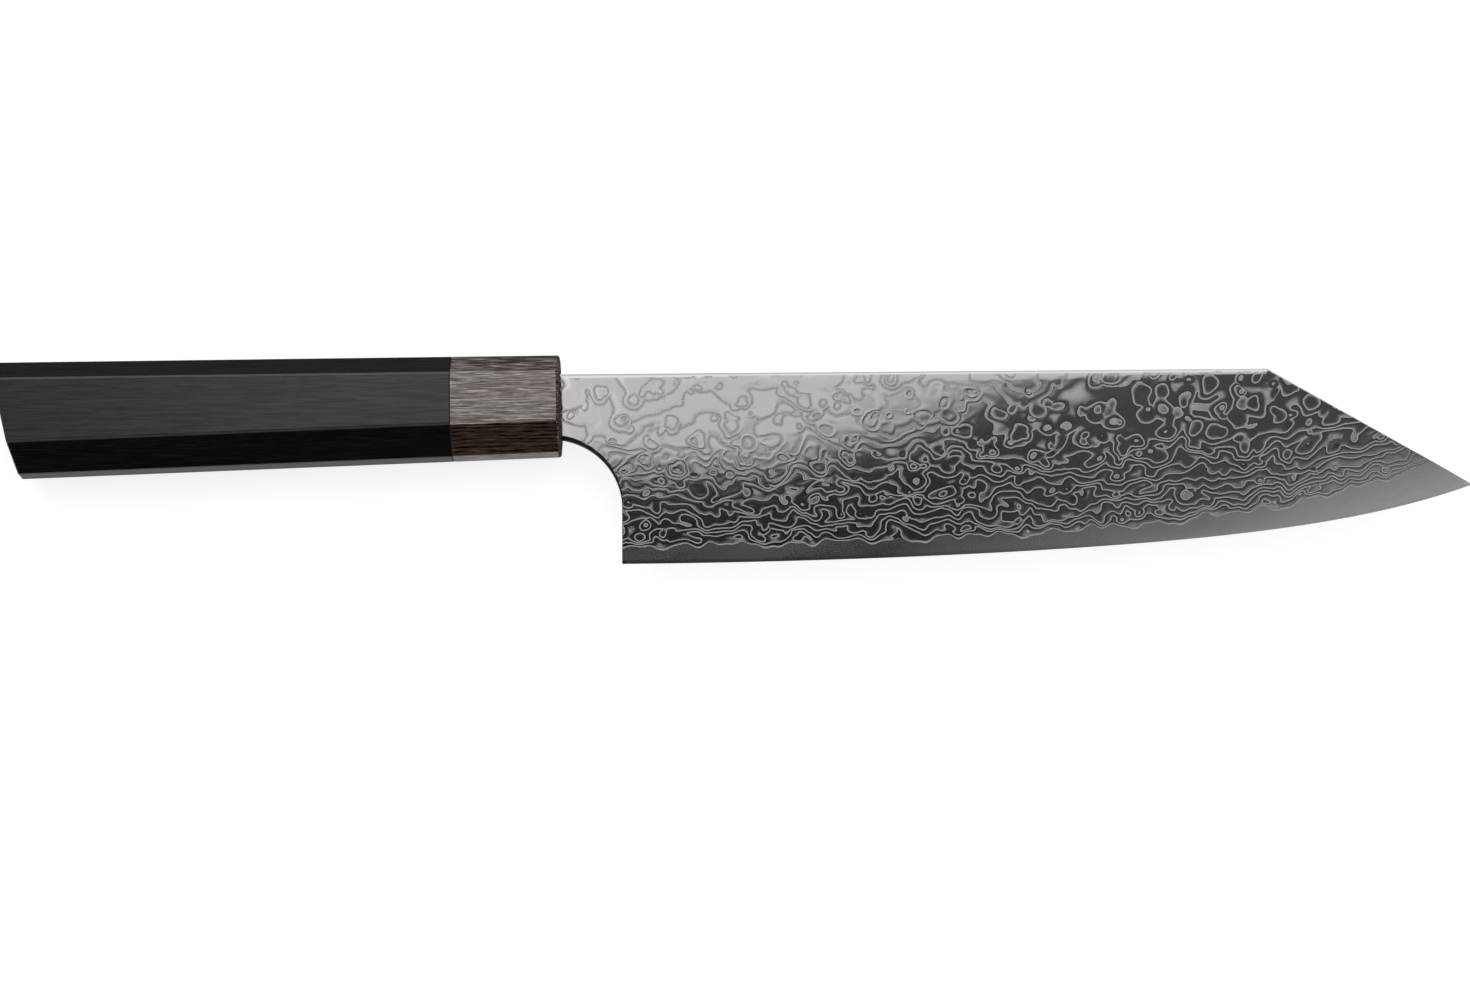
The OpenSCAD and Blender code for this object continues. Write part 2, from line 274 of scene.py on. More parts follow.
def closed_piece(name, points, faces, sharp_rows=(), row_count=1):
    """A piece from points and faces: doubles closed up, faces outward, smooth but for creases."""
    form = bmesh.new()
    made = [form.verts.new(p) for p in points]
    for face in faces:
        try:
            form.faces.new([made[i] for i in face])
        except ValueError:
            pass
    crease = form.edges.layers.int.new("crease_row")
    form.verts.index_update()
    for edge in form.edges:
        a, b = (v.index % row_count for v in edge.verts)
        edge[crease] = int(a == b and a in sharp_rows)
    bmesh.ops.remove_doubles(form, verts=form.verts, dist=WELD)
    bmesh.ops.dissolve_degenerate(form, edges=form.edges, dist=SLIVER)
    bmesh.ops.recalc_face_normals(form, faces=form.faces)
    for face in form.faces:
        face.smooth = True
    for edge in form.edges:
        turn = edge.calc_face_angle(0)
        edge.smooth = not (edge[crease] or turn > CREASE)
    form.edges.layers.int.remove(crease)
    mesh = bpy.data.meshes.new(name)
    form.to_mesh(mesh)
    form.free()
    piece = bpy.data.objects.new(name, mesh)
    bpy.context.scene.collection.objects.link(piece)
    return piece


CORE_ROWS = 10


def core_side(side):
    sheet = []
    for k, (head, foot, _, _, bevel, edge) in enumerate(columns):
        z = side * core_half(k)
        ground = k >= heel_column
        row = [(*head, z)]
        for j in range(CORE_ROWS):
            x, y = foot + (bevel - foot) * j / (CORE_ROWS - 1)
            row.append((x, y, side * float(half_thickness(x, y)) if ground and j else z))
        row.append((*edge, 0 if ground else z))
        sheet.append(row)
    return sheet


core = between_sheets("core_steel", core_side(1), core_side(-1), sharp_rows=(1, CORE_ROWS))


RIPPLE_REACH = 2.5
GROUND_NORMAL = 0.985
RAW_NORMAL = 0.988
RAW_END = NECK_LENGTH + 0.7
RAW_TOP = 0.5 - NECK_HEIGHT


def mark_forging(piece):
    """Writes on each point how far it lies along the blade, above the forging line, and
    how high the blade is above that line there, in millimetres. It also marks the ground
    faces, and those round the choil that keep the black skin of the forge."""
    mesh = piece.data
    spots = np.empty(len(mesh.vertices) * 3)
    mesh.vertices.foreach_get("co", spots)
    x, y, _ = (spots.reshape(-1, 3) / MM - ORIGIN).T
    even = edge_y(x) + even_band(x)
    line = edge_y(x) + band(x)
    above = y - line
    settled = above + (line - even) * (1 - np.exp(-np.maximum(above, 0) / RIPPLE_REACH))
    forging = np.column_stack([x, settled, -even])
    mark = mesh.attributes.new("forging", "FLOAT_VECTOR", "POINT")
    mark.data.foreach_set("vector", forging.astype(np.float32).ravel())
    flat = mesh.attributes.new("ground_face", "FLOAT", "POINT")
    flat.data.foreach_set("value", [float(abs(v.normal.z) > GROUND_NORMAL) for v in mesh.vertices])
    raw = mesh.attributes.new("forge_scale", "FLOAT", "FACE")
    values = []
    for face in mesh.polygons:
        x, y = face.center.x / MM - ORIGIN[0], face.center.y / MM - ORIGIN[1]
        values.append(float(x < RAW_END and y < RAW_TOP and abs(face.normal.z) < RAW_NORMAL))
    raw.data.foreach_set("value", values)


def feed(tree, target, inputs):
    """Gives a node's inputs their values, or links them to the sockets that feed them."""
    for name, value in inputs.items():
        if isinstance(value, bpy.types.NodeSocket):
            tree.links.new(value, target.inputs[name])
        else:
            target.inputs[name].default_value = value


def node(tree, kind, inputs=None, **settings):
    made = tree.nodes.new(kind)
    for name, value in settings.items():
        setattr(made, name, value)
    feed(tree, made, inputs or {})
    return made


def calc(tree, operation, *values):
    return node(tree, "ShaderNodeMath", dict(enumerate(values)), operation=operation).outputs[0]


def total(tree, value, *others):
    """The sum of sockets and numbers."""
    for other in others:
        value = calc(tree, "ADD", value, other)
    return value


def product(tree, value, *others):
    """The product of sockets and numbers."""
    for other in others:
        value = calc(tree, "MULTIPLY", value, other)
    return value


def vector_calc(tree, operation, *values):
    return node(
        tree, "ShaderNodeVectorMath", dict(enumerate(values)), operation=operation
    ).outputs[0]


def scaled(tree, vector, factor):
    return node(
        tree, "ShaderNodeVectorMath", {0: vector, "Scale": factor}, operation="SCALE"
    ).outputs[0]


def ramp(tree, value, low, high, start=0.0, end=1.0):
    """A soft step of a value between two limits."""
    return node(
        tree, "ShaderNodeMapRange",
        {"Value": value, "From Min": low, "From Max": high, "To Min": start, "To Max": end},
        interpolation_type="SMOOTHSTEP",
    ).outputs[0]


def blend(tree, share, first, second):
    """A colour between two others."""
    return node(
        tree, "ShaderNodeMix", {0: share, 6: first, 7: second}, data_type="RGBA"
    ).outputs[2]


def noise(tree, vector, scale, detail=1.0, roughness=0.5):
    """A noise's outputs: 0 is its strength, 1 its colour."""
    return node(tree, "ShaderNodeTexNoise", {
        "Vector": vector, "Scale": scale, "Detail": detail, "Roughness": roughness
    }).outputs


def shader_group(name, inputs, outputs):
    """An effect as a node group; gives its tree, its input sockets and its output node."""
    tree = bpy.data.node_groups.new(name, "ShaderNodeTree")
    for title, (kind, value) in inputs.items():
        socket = tree.interface.new_socket(title, in_out="INPUT", socket_type="NodeSocket" + kind)
        if value is not None:
            socket.default_value = value
    for title, kind in outputs.items():
        tree.interface.new_socket(title, in_out="OUTPUT", socket_type="NodeSocket" + kind)
    start, end = tree.nodes.new("NodeGroupInput"), tree.nodes.new("NodeGroupOutput")
    return tree, start.outputs, end


def use_group(tree, group, inputs):
    return node(tree, "ShaderNodeGroup", inputs, node_tree=group).outputs


def new_material(name):
    """A material with its main shader; gives the material, its tree and that shader."""
    material = bpy.data.materials.new(name)
    material.use_nodes = True
    tree = material.node_tree
    return material, tree, tree.nodes["Principled BSDF"]


def mark_of(tree, name):
    """A number that the mesh carries under a name."""
    return node(tree, "ShaderNodeAttribute", attribute_name=name).outputs["Fac"]


def raised(tree, height, distance, strength=1.0):
    """The normals of a relief that is so many metres high."""
    return node(tree, "ShaderNodeBump", {
        "Strength": strength, "Distance": distance, "Height": height}).outputs[0]


def grey(value, tint=(1, 1, 1)):
    return (value * tint[0], value * tint[1], value * tint[2], 1)


# The fine lines that a stone leaves along a polished face
LINE_STRETCH = (0.06, 4.0, 0)
CLOUD_STRETCH = (0.03, 0.11, 0)
polish, start, end = shader_group(
    "polish_lines",
    {"Vector": ("Vector", None), "Scale": ("Float", 1.0)},
    {"Lines": "Float", "Clouds": "Float"},
)
drawn = vector_calc(
    polish, "MULTIPLY", scaled(polish, start["Vector"], start["Scale"]), LINE_STRETCH
)
clouded = vector_calc(polish, "MULTIPLY", start["Vector"], CLOUD_STRETCH)
feed(polish, end, {
    "Lines": noise(polish, drawn, 1.0, 3, 0.6)[0],
    "Clouds": noise(polish, clouded, 1.0, 2)[0],
})

# Most of a noise lies between these values
SPREAD = (0.3, 0.7)
CORE_TONES = (grey(0.48), grey(0.51, (1, 0.99, 0.98)))
CORE_ROUGHNESS = (0.12, 0.15)
SKIN_TONE = grey(0.02)
SKIN_ROUGHNESS = 0.4

core_finish, tree, shader = new_material("core_steel_satin")
forging = node(tree, "ShaderNodeAttribute", attribute_name="forging").outputs["Vector"]
lines = use_group(tree, polish, {"Vector": forging, "Scale": 0.5})
raw = mark_of(tree, "forge_scale")
satin = blend(tree, ramp(tree, lines["Lines"], *SPREAD), *CORE_TONES)
feed(tree, shader, {
    "Base Color": blend(tree, raw, satin, SKIN_TONE),
    "Metallic": 1.0,
    "Roughness": total(
        tree, ramp(tree, lines["Clouds"], *SPREAD, *CORE_ROUGHNESS),
        product(tree, raw, SKIN_ROUGHNESS)),
})
core.data.materials.append(core_finish)
mark_forging(core)
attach(core, "root")
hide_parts("blade_core")


# The two claddings
# Soft steel of many folded layers, forged to the right and left of the core, ground thin
# towards the edge and etched, so that every layer that the grind cuts through shows as a line.
EASE_RADIUS = 0.6
SPINE_EASE = 1.6
CHOIL_EASE = 0.9
HEAD_DROP = 0.85
FOOT_DROP = 0.6
EASE_ROWS = 9
FACE_ROWS = 54
ROW_POWER = 1.5


def eased(border, inward, width, drop, angle):
    """A point of the rounded border of a face: 0 is at its foot, a right angle at its top."""
    x, y = border + inward * width * (1 - math.cos(angle))
    return (x, y, float(half_thickness(x, y)) - drop * (1 - math.sin(angle)))


def clad_face(k):
    """One column of the outer sheet: rounded border, ground face, rounded border."""
    head, foot, head_in, foot_in, _, _ = columns[k]
    core_z = core_half(k)
    drop_head, drop_foot = (
        share * max(0, float(half_thickness(*place)) - core_z)
        for share, place in ((HEAD_DROP, head), (FOOT_DROP, foot)))
    ease_head = SPINE_EASE if 0 < head[0] < CLIP_X else min(EASE_RADIUS, drop_head)
    ease_foot = min(EASE_RADIUS, drop_foot)
    if k < heel_column:
        ease_foot += (CHOIL_EASE - ease_foot) * abs(foot_in[1])
    if k == clad_end:
        return [(*head, core_z)] * (2 * EASE_ROWS + FACE_ROWS - 1)
    angles = [math.pi / 2 * j / (EASE_ROWS - 1) for j in range(EASE_ROWS)]
    high, low = head + head_in * ease_head, foot + foot_in * ease_foot
    row = [eased(head, head_in, ease_head, drop_head, a) for a in angles]
    for j in range(1, FACE_ROWS):
        x, y = low + (high - low) * (1 - j / FACE_ROWS) ** ROW_POWER
        row.append((x, y, float(half_thickness(x, y))))
    return row + [eased(foot, foot_in, ease_foot, drop_foot, a) for a in reversed(angles)]


def clad_back(k):
    """The same column of the inner sheet, flat on the core."""
    head, foot = columns[k][:2]
    core_z = core_half(k)
    count = 2 * EASE_ROWS + FACE_ROWS - 1
    return [(*(head if j == 0 else foot), core_z) for j in range(count)]


# How the layers lie: ground through ever deeper towards the edge, and pushed up and down
# by the hammer. The lines are where this level passes a whole number.
LAYER_COUNT = 12.5
PUSH_STRETCH = (0.13, 0.24, 1.0)
HAMMER_SCALE, HAMMER_PUSH = 0.17, 7.5
WAVE_SCALE, WAVE_PUSH = 0.24, 5.5
ROLL_SCALE = 0.075
DENT_PUSH = 2.5
SMALL_DENT_LAYERS = 0.85
CALM_HEIGHT = 2.0
FIRST_LEVEL = 0.12
layers, start, end = shader_group(
    "layer_level",
    {"Forging": ("Vector", None), "Layers": ("Float", LAYER_COUNT), "Seed": ("Float", 0.0)},
    {"Level": "Float"},
)
length, above_line, blade_height = node(
    layers, "ShaderNodeSeparateXYZ", {0: start["Forging"]}).outputs
height = calc(layers, "MAXIMUM", above_line, 0.0)
share = calc(layers, "MINIMUM", calc(layers, "DIVIDE", height, blade_height), 1.0)
left_above = calc(layers, "SUBTRACT", 1.0, share)
depth = product(layers, start["Layers"], calc(
    layers, "SUBTRACT", 1.0, calc(layers, "POWER", left_above, GRIND)))
spot = node(
    layers, "ShaderNodeCombineXYZ", {0: length, 1: height, 2: start["Seed"]}).outputs[0]
push = vector_calc(layers, "SUBTRACT", noise(layers, vector_calc(
    layers, "MULTIPLY", spot, PUSH_STRETCH), 1.0, 0.0)[1], (0.5, 0.5, 0.5))


def pushed(distance):
    return vector_calc(layers, "ADD", spot, scaled(layers, push, distance))


def up_and_down(vector, scale):
    """A smooth noise around zero."""
    return calc(layers, "SUBTRACT", noise(layers, vector, scale, 0.0)[0], 0.5)


hammer = up_and_down(pushed(HAMMER_PUSH), HAMMER_SCALE)
roll = up_and_down(spot, ROLL_SCALE)
wave = up_and_down(pushed(WAVE_PUSH), WAVE_SCALE)
bent = pushed(DENT_PUSH)


def dents(scale, inside, outside, smoothness, least, most):
    """Round dents of a punch, some of them deep: 0 between them, 1 on their floor."""
    cells = node(layers, "ShaderNodeTexVoronoi", {
        "Vector": bent, "Scale": scale, "Smoothness": smoothness,
    }, voronoi_dimensions="2D", feature="SMOOTH_F1")
    blow = node(layers, "ShaderNodeSeparateColor", {0: cells.outputs["Color"]}).outputs[0]
    return product(
        layers, ramp(layers, cells.outputs["Distance"], inside, outside, 1.0, 0.0),
        ramp(layers, blow, least, most))


wide_dents = dents(scale=0.165, inside=0.1, outside=0.55, smoothness=0.35, least=0.1, most=0.6)
small_dents = dents(scale=0.23, inside=0.05, outside=0.38, smoothness=0.2, least=0.35, most=0.65)
moved = product(layers, small_dents, SMALL_DENT_LAYERS)
# How many layers the others move changes between two shares of the blade's height
for kind, change in (
    (wide_dents, (0.15, 0.5, 0.4, 1.3)),
    (roll, (0.2, 0.6, 1.5, 4.0)),
    (hammer, (0.45, 0.7, 3.6, 1.2)),
    (wave, (0.1, 0.45, 3.4, 0.0)),
):
    moved = total(layers, moved, product(layers, kind, ramp(layers, share, *change)))
calm = ramp(layers, height, 0.0, CALM_HEIGHT)
feed(layers, end, {"Level": calc(
    layers, "SUBTRACT", total(layers, depth, product(layers, moved, calm)), FIRST_LEVEL)})

# What the etching makes of them: a thin raised line of one width, a shadow beside it that is
# painted into the steel's colour, and a soft lighter zone on one side, which is wide where the
# layers lie flat.
STEP = 0.08
LEAST_SLOPE = 0.05
LINE_WIDTH = 0.26
LINE_TOP, LINE_FOOT, SHADOW_END = 0.3, 0.75, 2.4
HALO_REACH = 0.42
etched, start, end = shader_group(
    "etched_layers",
    {"Forging": ("Vector", None), "Layers": ("Float", LAYER_COUNT), "Seed": ("Float", 0.0),
     "Line Width": ("Float", LINE_WIDTH)},
    {"Line": "Float", "Shadow": "Float", "Halo": "Float", "Relief": "Float"},
)
levels = [
    use_group(etched, layers, {
        "Forging": vector_calc(etched, "ADD", start["Forging"], shift),
        "Layers": start["Layers"], "Seed": start["Seed"],
    })["Level"]
    for shift in ((0, 0, 0), (STEP, 0, 0), (0, STEP, 0))
]
slopes = [calc(etched, "DIVIDE", calc(etched, "SUBTRACT", level, levels[0]), STEP)
          for level in levels[1:]]
slope = calc(etched, "SQRT", total(etched, *[product(etched, s, s) for s in slopes]))
apart = calc(etched, "DIVIDE", calc(etched, "PINGPONG", levels[0], 0.5),
             calc(etched, "MAXIMUM", slope, LEAST_SLOPE))
line_top, line_foot, shadow_end = (
    product(etched, start["Line Width"], widths) for widths in (LINE_TOP, LINE_FOOT, SHADOW_END))
line = ramp(etched, apart, line_top, line_foot, 1.0, 0.0)
beside = calc(etched, "SUBTRACT", ramp(etched, apart, line_foot, shadow_end, 1.0, 0.0), line)
feed(etched, end, {
    "Line": line,
    "Shadow": calc(etched, "MAXIMUM", beside, 0.0),
    "Halo": ramp(etched, calc(etched, "FRACT", levels[0]), 0.0, HALO_REACH, 1.0, 0.0),
    "Relief": calc(etched, "COSINE", product(etched, levels[0], 2 * math.pi)),
})

SEEDS = (3.0, 43.0)
TIP_FADE = (190.0, 218.0, 1.0, 0.3)
WARM_ALONG, WARM_ABOVE = (70.0, 170.0), (0.4, 0.7, 1.0, 0.0)
SHADOW_FADE = (0.3, 0.6, 1.0, 0.5)
COOL_GROUND, WARM_GROUND = grey(0.43, (1, 0.96, 0.995)), grey(0.43, (1.02, 0.99, 0.94))
BORDER_TONE = grey(0.60, (1, 0.99, 0.95))
HALO_TONE = grey(0.52)
SHADOW_TONE = grey(0.2)
LINE_TONE = grey(0.40, (1, 0.99, 0.97))
LINE_DULLNESS = 0.2
GROUND_ROUGHNESS, HALO_ROUGHNESS, LINE_ROUGHNESS = 0.07, 0.2, 0.32
ETCHED_RELIEF = 0.0000025

for side, (name, cad_node) in enumerate(
    (("cladding_of_the_right", "cladding_right"), ("cladding_of_the_left", "cladding_left"))
):
    turn = 1 - 2 * side
    faces, backs = [
        [[(x, y, turn * z) for x, y, z in sheet(k)] for k in range(clad_end + 1)]
        for sheet in (clad_face, clad_back)
    ]
    cladding = between_sheets(name, faces, backs)
    mark_forging(cladding)
    etching, tree, shader = new_material("etched_layers_" + ("left" if side else "right"))
    forging = node(tree, "ShaderNodeAttribute", attribute_name="forging").outputs["Vector"]
    marks = use_group(tree, etched, {
        "Forging": forging, "Layers": LAYER_COUNT, "Seed": SEEDS[side],
        "Line Width": LINE_WIDTH,
    })
    flat = ramp(tree, mark_of(tree, "ground_face"), 0.5, 1.0)
    raw = mark_of(tree, "forge_scale")
    spot = node(tree, "ShaderNodeSeparateXYZ", {0: forging}).outputs
    share = calc(tree, "DIVIDE", spot[1], spot[2])
    depth = product(tree, flat, ramp(tree, spot[0], *TIP_FADE))
    # Painted shadow beside each line, darker low on the blade.
    shadow = product(tree, marks["Shadow"], depth, ramp(tree, share, *SHADOW_FADE))
    line = product(tree, marks["Line"], depth)
    halo = product(tree, marks["Halo"], depth)
    warm = product(tree, ramp(tree, spot[0], *WARM_ALONG), ramp(tree, share, *WARM_ABOVE))
    ground = blend(tree, warm, COOL_GROUND, WARM_GROUND)
    ground = blend(tree, flat, BORDER_TONE, ground)
    for mask, tone in ((halo, HALO_TONE), (shadow, SHADOW_TONE), (line, LINE_TONE)):
        ground = blend(tree, mask, ground, tone)
    feed(tree, shader, {
        "Base Color": blend(tree, raw, ground, SKIN_TONE),
        "Metallic": calc(tree, "SUBTRACT", 1.0, product(tree, line, LINE_DULLNESS)),
        "Roughness": total(
            tree, GROUND_ROUGHNESS, product(tree, halo, HALO_ROUGHNESS),
            calc(tree, "MAXIMUM", product(tree, line, LINE_ROUGHNESS),
                 product(tree, raw, SKIN_ROUGHNESS))),
        "Normal": raised(tree, product(tree, marks["Relief"], depth), ETCHED_RELIEF),
    })
    cladding.data.materials.append(etching)
    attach(cladding, "root")
    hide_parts(cad_node)


# The resin that beds the tang
# Hard amber resin, poured around the burnt-in tang inside the handle, up to the seal.
AMBER_TONES = ((0.46, 0.34, 0.15, 1), (0.62, 0.50, 0.28, 1))
AMBER_ROUGHNESS = (0.25, 0.4)
AMBER_CLOUDS = 220.0


def dress(cad_node, material):
    """Gives its material to a piece that keeps its CAD solid."""
    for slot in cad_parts[cad_node].material_slots:
        slot.material = material


resin, tree, shader = new_material("bedding_resin")
place = node(tree, "ShaderNodeTexCoord").outputs["Object"]
clouds = noise(tree, place, AMBER_CLOUDS, 3)[0]
feed(tree, shader, {
    "Base Color": blend(tree, clouds, *AMBER_TONES),
    "Roughness": ramp(tree, clouds, *SPREAD, *AMBER_ROUGHNESS),
})
dress("tang_bedding", resin)


# The dowel
# A turned hardwood dowel, slotted for the tang and glued into ferrule and handle.
GRAIN_BEND, BEND_REACH = 0.22, 3.0
RING_SLOPE = 0.6
FIBRE_SCALE, PORE_SCALE, CLOUD_SCALE = 5.5, 9.0, 0.45
DOWEL_RINGS = 1.6
DOWEL_TONES = ((0.66, 0.50, 0.32, 1), (0.52, 0.36, 0.20, 1))
DOWEL_PORES = ((0.58, 0.7), (0.35, 0.22, 0.12, 1))
DOWEL_ROUGHNESS = (0.5, 0.7)
FIBRE_RELIEF = 0.00005
wood_grain, start, end = shader_group(
    "wood_grain",
    {"Vector": ("Vector", None), "Length": ("Float", 0.06), "Fineness": ("Float", 1.0),
     "Ring Spacing": ("Float", 1.2), "Wander": ("Float", 1.5)},
    {"Rings": "Float", "Fibres": "Float", "Pores": "Float", "Clouds": "Float"},
)
lengthwise = vector_calc(wood_grain, "MULTIPLY", start["Vector"], node(
    wood_grain, "ShaderNodeCombineXYZ", {0: start["Length"], 1: 1.0, 2: 1.0}).outputs[0])
bend = noise(wood_grain, lengthwise, GRAIN_BEND, 2)[0]
across = node(wood_grain, "ShaderNodeSeparateXYZ", {0: lengthwise}).outputs
through = total(wood_grain, across[1], product(wood_grain, across[2], RING_SLOPE))
rings = calc(wood_grain, "PINGPONG", total(
    wood_grain, calc(wood_grain, "DIVIDE", through, start["Ring Spacing"]),
    product(wood_grain, bend, start["Wander"], BEND_REACH),
), 0.5)
fibre_scale, pore_scale = (
    product(wood_grain, start["Fineness"], scale) for scale in (FIBRE_SCALE, PORE_SCALE))
feed(wood_grain, end, {
    "Rings": product(wood_grain, rings, 2.0),
    "Fibres": noise(wood_grain, lengthwise, fibre_scale, 3, 0.65)[0],
    "Pores": noise(wood_grain, lengthwise, pore_scale)[0],
    "Clouds": noise(wood_grain, lengthwise, CLOUD_SCALE, 2)[0],
})


def in_millimetres(tree):
    """The place on the knife in millimetres, from the mouth of the ferrule."""
    place = node(tree, "ShaderNodeTexCoord").outputs["Object"]
    return vector_calc(tree, "SUBTRACT", scaled(tree, place, 1 / MM), tuple(ORIGIN))


def covered(tree, tone, value, layer):
    """A tone under another one, which is laid on where a value lies between limits."""
    limits, colour = layer
    return blend(tree, ramp(tree, value, *limits), tone, colour)


dowel_wood, tree, shader = new_material("turned_dowel_wood")
grain = use_group(
    tree, wood_grain, {"Vector": in_millimetres(tree), "Ring Spacing": DOWEL_RINGS})
tone = blend(tree, grain["Rings"], *DOWEL_TONES)
feed(tree, shader, {
    "Base Color": covered(tree, tone, grain["Pores"], DOWEL_PORES),
    "Roughness": ramp(tree, grain["Fibres"], *SPREAD, *DOWEL_ROUGHNESS),
    "Normal": raised(tree, grain["Fibres"], FIBRE_RELIEF, 0.3),
})
dress("tang_dowel", dowel_wood)


# The ferrule
# A short octagon of streaked open-pored wood, bevelled in front, mortised for the neck of
# the blade and bored from behind for the dowel.
HANDLE_LENGTH = 137.5
HANDLE_HEIGHT = 25.2
BUTT_HEIGHT = 29.1
HANDLE_THICKNESS = 2 * ORIGIN[2]
SLANT_HEIGHT = 6.45
SLANT_DEPTH = 7.65
BUTT_ANGLE = math.radians(13.4)
FERRULE_LENGTH = 26.7
FERRULE_BEVEL = 0.7
GLUE = 0.15
DOWEL_BORE = 6.55
FERRULE_WEB = 5.0
DOWEL_END = 82.05
SLOT = (10.2, 3.4)
MOUTH = (17.6, 3.0)
MOUTH_DEPTH = 4.2
ARRIS_RADIUS = 0.9
ARRIS_STEPS = 6
NEAR_ZERO = 1e-9
TAPER = (BUTT_HEIGHT - HANDLE_HEIGHT) / HANDLE_LENGTH
MOUTH_Y = AXIS_DROP - NECK_HEIGHT / 2


def octagon(x, inset=0.0, radius=ARRIS_RADIUS):
    """Points round the handle at x on its axis, with eased arrises."""
    high = (HANDLE_HEIGHT - TAPER * x) / 2
    deep = HANDLE_THICKNESS / 2
    a, b = high - SLANT_HEIGHT, deep - SLANT_DEPTH
    corners = [(high, b), (a, deep), (-a, deep), (-high, b),
               (-high, -b), (-a, -deep), (a, -deep), (high, -b)]
    ring = []
    for i, corner in enumerate(corners):
        before, after = np.array(corners[i - 1]), np.array(corners[(i + 1) % 8])
        corner = np.array(corner)
        back, on = before - corner, after - corner
        back, on = back / np.linalg.norm(back), on / np.linalg.norm(on)
        half = math.acos(np.clip(back @ on, -1, 1)) / 2
        middle = corner + (back + on) / np.linalg.norm(back + on) * (
            (radius + inset) / math.sin(half))
        first, last = np.array([back[1], -back[0]]), np.array([-on[1], on[0]])
        if first @ (middle - corner) > 0:
            first, last = -first, -last
        for j in range(ARRIS_STEPS + 1):
            t = j / ARRIS_STEPS
            out = first * (1 - t) + last * t
            ring.append(middle + out / np.linalg.norm(out) * radius)
    return np.array(ring)


RING_COUNT = 8 * (ARRIS_STEPS + 1)
ring_angles = np.array([math.atan2(z, y) for y, z in octagon(0)])


def circle(radius):
    return np.column_stack([np.cos(ring_angles), np.sin(ring_angles)]) * radius


def rectangle(height, depth, y=0.0):
    """A rectangle as a ring of as many points as the octagon, with its corners in place."""
    ring = []
    for angle in ring_angles:
        cos, sin = math.cos(angle), math.sin(angle)
        reach = min(
            height / 2 / max(abs(cos), NEAR_ZERO), depth / 2 / max(abs(sin), NEAR_ZERO))
        ring.append([cos * reach, sin * reach])
    ring = np.array(ring)
    for cy in (1, -1):
        for cz in (1, -1):
            corner = np.array([cy * height / 2, cz * depth / 2])
            aim = math.atan2(corner[1], corner[0])
            nearest = np.argmin(np.abs(np.angle(np.exp(1j * (ring_angles - aim)))))
            ring[nearest] = corner
    return ring + (y, 0)


def handle_points(x, ring):
    """A ring of (y, z) at x on the handle's axis, in the blade's frame. x may change round it."""
    x = np.broadcast_to(x, len(ring))
    flat = on_axis(x, ring[:, 0])
    return np.column_stack([flat[0], flat[1], ring[:, 1]])


def skin(name, rings, closed=False):
    """A closed piece through rings of points: a loop of them, or capped at both ends."""
    count, size = len(rings), len(rings[0])
    points = np.concatenate(rings)
    faces = []
    for i in range(count if closed else count - 1):
        a, b = i * size, (i + 1) % count * size
        faces += [
            (a + j, a + (j + 1) % size, b + (j + 1) % size, b + j) for j in range(size)
        ]
    if not closed:
        faces += [tuple(range(size - 1, -1, -1)), tuple(range((count - 1) * size, count * size))]
    return closed_piece(name, in_row(points), faces)


SLANT = math.atan2(SLANT_HEIGHT, SLANT_DEPTH)
SLANT_MARGIN = 0.03
FRONT_NORMAL = 0.15
NARROW_NORMAL = 0.99
ARRIS_NORMAL_Y, ARRIS_NORMAL_Z = 0.2, (0.75, 0.98)
# Marks of the facets: they set the gloss and the painted tones. A low mark paints a facet dark as
# shade; the arris mark, above full, paints a lighter arris on the ebony, a painted highlight.
FRONT_POLISH_AND_SHADE, SLANT_POLISH_AND_SHADE, NARROW_POLISH_AND_SHADE, ARRIS_HIGHLIGHT_POLISH = 0.13, 0.16, 0.5, 1.3


def polish_and_shade_of(normal):
    """The polish mark of a face of the handle: the arrises beside the spine most, the wide flats
    fully, the narrow flats half, the front end and the slanted facets beside the spine hardly, and
    the other slanted facets not. The mark sets the gloss and also the painted tone: a low mark
    paints the face dark as shade, and the arris mark paints a highlight on the ebony."""
    x, y, z = normal.x, normal.y, abs(normal.z)
    if x > FRONT_NORMAL:
        return FRONT_POLISH_AND_SHADE
    if max(abs(abs(y) - math.cos(SLANT)), abs(z - math.sin(SLANT))) < SLANT_MARGIN:
        return SLANT_POLISH_AND_SHADE if y > 0 else 0.0
    if y > ARRIS_NORMAL_Y and ARRIS_NORMAL_Z[0] < z < ARRIS_NORMAL_Z[1]:
        return ARRIS_HIGHLIGHT_POLISH
    return NARROW_POLISH_AND_SHADE if abs(y) > NARROW_NORMAL else 1.0


def mark_polish_and_shade(piece):
    """Writes on each face its polish mark, which sets its gloss and its painted shade."""
    mark = piece.data.attributes.new("polish_and_shade", "FLOAT", "FACE")
    mark.data.foreach_set("value", [polish_and_shade_of(face.normal) for face in piece.data.polygons])


def settle_normals(piece):
    """Large flats keep their own normals, so that only the eased arrises look round."""
    flatten = piece.modifiers.new("even_flats", "WEIGHTED_NORMAL")
    flatten.keep_sharp = True


EDGE_STEPS = 5


def quarter_turn(radius):
    """How far each ring of a rounded end lies behind the end, and how far inside the side."""
    turns = [j / EDGE_STEPS * math.pi / 2 for j in range(EDGE_STEPS + 1)]
    return [(radius * (1 - math.sin(t)), radius * (1 - math.cos(t))) for t in turns]


